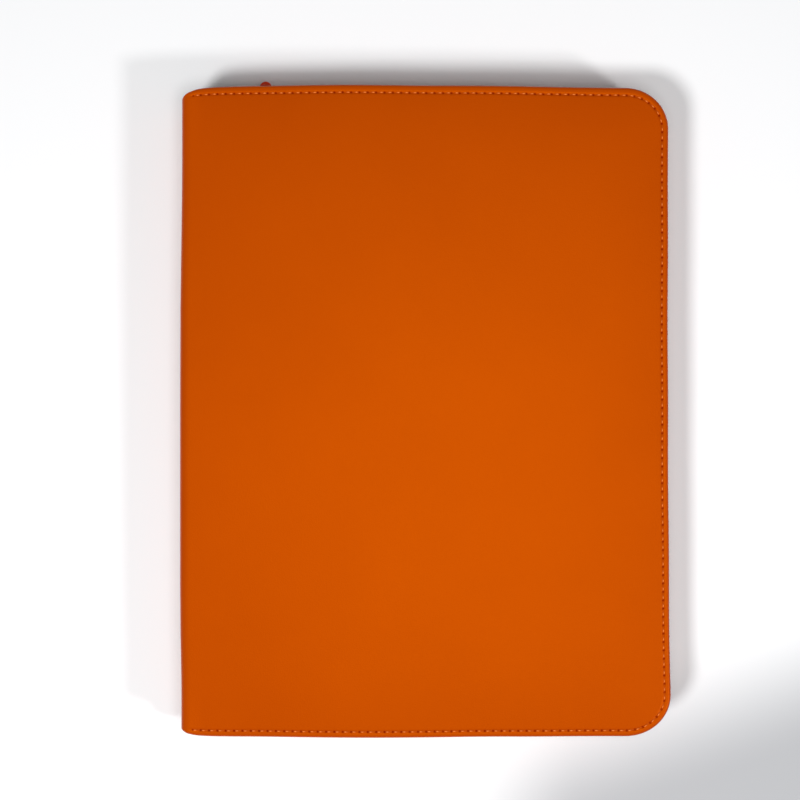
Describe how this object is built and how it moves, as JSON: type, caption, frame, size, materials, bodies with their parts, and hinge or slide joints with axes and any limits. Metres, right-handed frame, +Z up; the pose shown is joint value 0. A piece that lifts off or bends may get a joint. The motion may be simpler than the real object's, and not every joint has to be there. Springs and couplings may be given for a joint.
{
  "type": "trading card binder",
  "caption": "Zip-round trading card binder with padded leather-like covers, a folding spine, clear side-loading pocket leaves and a sliding zip pull.",
  "frame": {"origin": "centre of the back cover's outer face, on which the closed case lies", "axes": "+X from the spine to the fore edge, +Y from the tail to the head, +Z up through the front cover"},
  "size_m": [0.262, 0.3554, 0.036],
  "materials": {
    "skin": "smooth fine-grain orange synthetic leather, matte to satin",
    "foam": "open-cell foam",
    "board": "grey binding board",
    "lining": "black brushed lining cloth",
    "zip_tape": "woven polyester tape",
    "zip_teeth": "nylon coil",
    "enamel": "glossy red-orange enamel",
    "page_sheet": "black polypropylene sheet",
    "pocket_film": "clear glossy film",
    "binding": "black binding strip"
  },
  "bodies": {
    "back_cover": {"back_skin": "skin", "back_foam": "foam", "back_board": "board", "back_lining": "lining", "back_zip_tape": "zip_tape", "back_zip_teeth": "zip_teeth"},
    "spine": {"spine_skin": "skin", "spine_board": "board", "spine_lining": "lining", "page_binding_bar": "binding", "zip_tail_tab": "skin"},
    "front_cover": {"front_skin": "skin", "front_foam": "foam", "front_board": "board", "front_lining": "lining", "front_zip_tape": "zip_tape", "front_zip_teeth": "zip_teeth"},
    "slider": {"slider_body": "enamel", "slider_crown": "enamel"},
    "puller": {"pull_tab": "enamel"},
    "page_01": {"page_01_sheet": "page_sheet", "page_01_pockets": "pocket_film"},
    "page_02": {"page_02_sheet": "page_sheet", "page_02_pockets": "pocket_film"},
    "page_03": {"page_03_sheet": "page_sheet", "page_03_pockets": "pocket_film"},
    "page_04": {"page_04_sheet": "page_sheet", "page_04_pockets": "pocket_film"},
    "page_05": {"page_05_sheet": "page_sheet", "page_05_pockets": "pocket_film"},
    "page_06": {"page_06_sheet": "page_sheet", "page_06_pockets": "pocket_film"},
    "page_07": {"page_07_sheet": "page_sheet", "page_07_pockets": "pocket_film"},
    "page_08": {"page_08_sheet": "page_sheet", "page_08_pockets": "pocket_film"},
    "page_09": {"page_09_sheet": "page_sheet", "page_09_pockets": "pocket_film"},
    "page_10": {"page_10_sheet": "page_sheet", "page_10_pockets": "pocket_film"},
    "page_11": {"page_11_sheet": "page_sheet", "page_11_pockets": "pocket_film"},
    "page_12": {"page_12_sheet": "page_sheet", "page_12_pockets": "pocket_film"},
    "page_13": {"page_13_sheet": "page_sheet", "page_13_pockets": "pocket_film"},
    "page_14": {"page_14_sheet": "page_sheet", "page_14_pockets": "pocket_film"},
    "page_15": {"page_15_sheet": "page_sheet", "page_15_pockets": "pocket_film"},
    "page_16": {"page_16_sheet": "page_sheet", "page_16_pockets": "pocket_film"},
    "page_17": {"page_17_sheet": "page_sheet", "page_17_pockets": "pocket_film"},
    "page_18": {"page_18_sheet": "page_sheet", "page_18_pockets": "pocket_film"},
    "page_19": {"page_19_sheet": "page_sheet", "page_19_pockets": "pocket_film"},
    "page_20": {"page_20_sheet": "page_sheet", "page_20_pockets": "pocket_film"}
  },
  "joints": [
    {"name": "spine_fold", "type": "hinge", "parent": "back_cover", "child": "spine", "pos_m": [-0.12954, 0, 0.00146], "axis": [0, -1, 0], "range_deg": [0, 90]},
    {"name": "front_fold", "type": "hinge", "parent": "spine", "child": "front_cover", "pos_m": [-0.12954, 0, 0.03454], "axis": [0, -1, 0], "range_deg": [0, 90]},
    {"name": "zip_slide", "type": "slide", "parent": "back_cover", "child": "slider", "axis": [1, 0, 0], "range_m": [0, 0.188]},
    {"name": "pull_swing", "type": "hinge", "parent": "slider", "child": "puller", "pos_m": [-0.0862, 0.17645, 0.018], "axis": [0, 0, -1], "range_deg": [0, 180]},
    {"name": "page_01_turn", "type": "hinge", "parent": "spine", "child": "page_01", "pos_m": [-0.1246, 0, 0.0064], "axis": [0, -1, 0], "range_deg": [-90, 0]},
    {"name": "page_02_turn", "type": "hinge", "parent": "spine", "child": "page_02", "pos_m": [-0.1239, 0, 0.00762], "axis": [0, -1, 0], "range_deg": [-90, 0]},
    {"name": "page_03_turn", "type": "hinge", "parent": "spine", "child": "page_03", "pos_m": [-0.1232, 0, 0.00884], "axis": [0, -1, 0], "range_deg": [-90, 0]},
    {"name": "page_04_turn", "type": "hinge", "parent": "spine", "child": "page_04", "pos_m": [-0.1225, 0, 0.01006], "axis": [0, -1, 0], "range_deg": [-90, 0]},
    {"name": "page_05_turn", "type": "hinge", "parent": "spine", "child": "page_05", "pos_m": [-0.1218, 0, 0.01128], "axis": [0, -1, 0], "range_deg": [-90, 0]},
    {"name": "page_06_turn", "type": "hinge", "parent": "spine", "child": "page_06", "pos_m": [-0.1211, 0, 0.01251], "axis": [0, -1, 0], "range_deg": [-90, 0]},
    {"name": "page_07_turn", "type": "hinge", "parent": "spine", "child": "page_07", "pos_m": [-0.1204, 0, 0.01373], "axis": [0, -1, 0], "range_deg": [-90, 0]},
    {"name": "page_08_turn", "type": "hinge", "parent": "spine", "child": "page_08", "pos_m": [-0.1197, 0, 0.01495], "axis": [0, -1, 0], "range_deg": [-90, 0]},
    {"name": "page_09_turn", "type": "hinge", "parent": "spine", "child": "page_09", "pos_m": [-0.119, 0, 0.01617], "axis": [0, -1, 0], "range_deg": [-90, 0]},
    {"name": "page_10_turn", "type": "hinge", "parent": "spine", "child": "page_10", "pos_m": [-0.1183, 0, 0.01739], "axis": [0, -1, 0], "range_deg": [-90, 0]},
    {"name": "page_11_turn", "type": "hinge", "parent": "spine", "child": "page_11", "pos_m": [-0.1183, 0, 0.01861], "axis": [0, -1, 0], "range_deg": [0, 90]},
    {"name": "page_12_turn", "type": "hinge", "parent": "spine", "child": "page_12", "pos_m": [-0.119, 0, 0.01983], "axis": [0, -1, 0], "range_deg": [0, 90]},
    {"name": "page_13_turn", "type": "hinge", "parent": "spine", "child": "page_13", "pos_m": [-0.1197, 0, 0.02105], "axis": [0, -1, 0], "range_deg": [0, 90]},
    {"name": "page_14_turn", "type": "hinge", "parent": "spine", "child": "page_14", "pos_m": [-0.1204, 0, 0.02227], "axis": [0, -1, 0], "range_deg": [0, 90]},
    {"name": "page_15_turn", "type": "hinge", "parent": "spine", "child": "page_15", "pos_m": [-0.1211, 0, 0.02349], "axis": [0, -1, 0], "range_deg": [0, 90]},
    {"name": "page_16_turn", "type": "hinge", "parent": "spine", "child": "page_16", "pos_m": [-0.1218, 0, 0.02472], "axis": [0, -1, 0], "range_deg": [0, 90]},
    {"name": "page_17_turn", "type": "hinge", "parent": "spine", "child": "page_17", "pos_m": [-0.1225, 0, 0.02594], "axis": [0, -1, 0], "range_deg": [0, 90]},
    {"name": "page_18_turn", "type": "hinge", "parent": "spine", "child": "page_18", "pos_m": [-0.1232, 0, 0.02716], "axis": [0, -1, 0], "range_deg": [0, 90]},
    {"name": "page_19_turn", "type": "hinge", "parent": "spine", "child": "page_19", "pos_m": [-0.1239, 0, 0.02838], "axis": [0, -1, 0], "range_deg": [0, 90]},
    {"name": "page_20_turn", "type": "hinge", "parent": "spine", "child": "page_20", "pos_m": [-0.1246, 0, 0.0296], "axis": [0, -1, 0], "range_deg": [0, 90]}
  ],
  "couplings": [
    {"joint": "page_01_turn", "follows": "spine_fold", "ratio": -1},
    {"joint": "page_02_turn", "follows": "spine_fold", "ratio": -1},
    {"joint": "page_03_turn", "follows": "spine_fold", "ratio": -1},
    {"joint": "page_04_turn", "follows": "spine_fold", "ratio": -1},
    {"joint": "page_05_turn", "follows": "spine_fold", "ratio": -1},
    {"joint": "page_06_turn", "follows": "spine_fold", "ratio": -1},
    {"joint": "page_07_turn", "follows": "spine_fold", "ratio": -1},
    {"joint": "page_08_turn", "follows": "spine_fold", "ratio": -1},
    {"joint": "page_09_turn", "follows": "spine_fold", "ratio": -1},
    {"joint": "page_10_turn", "follows": "spine_fold", "ratio": -1},
    {"joint": "page_11_turn", "follows": "front_fold", "ratio": 1},
    {"joint": "page_12_turn", "follows": "front_fold", "ratio": 1},
    {"joint": "page_13_turn", "follows": "front_fold", "ratio": 1},
    {"joint": "page_14_turn", "follows": "front_fold", "ratio": 1},
    {"joint": "page_15_turn", "follows": "front_fold", "ratio": 1},
    {"joint": "page_16_turn", "follows": "front_fold", "ratio": 1},
    {"joint": "page_17_turn", "follows": "front_fold", "ratio": 1},
    {"joint": "page_18_turn", "follows": "front_fold", "ratio": 1},
    {"joint": "page_19_turn", "follows": "front_fold", "ratio": 1},
    {"joint": "page_20_turn", "follows": "front_fold", "ratio": 1}
  ]
}
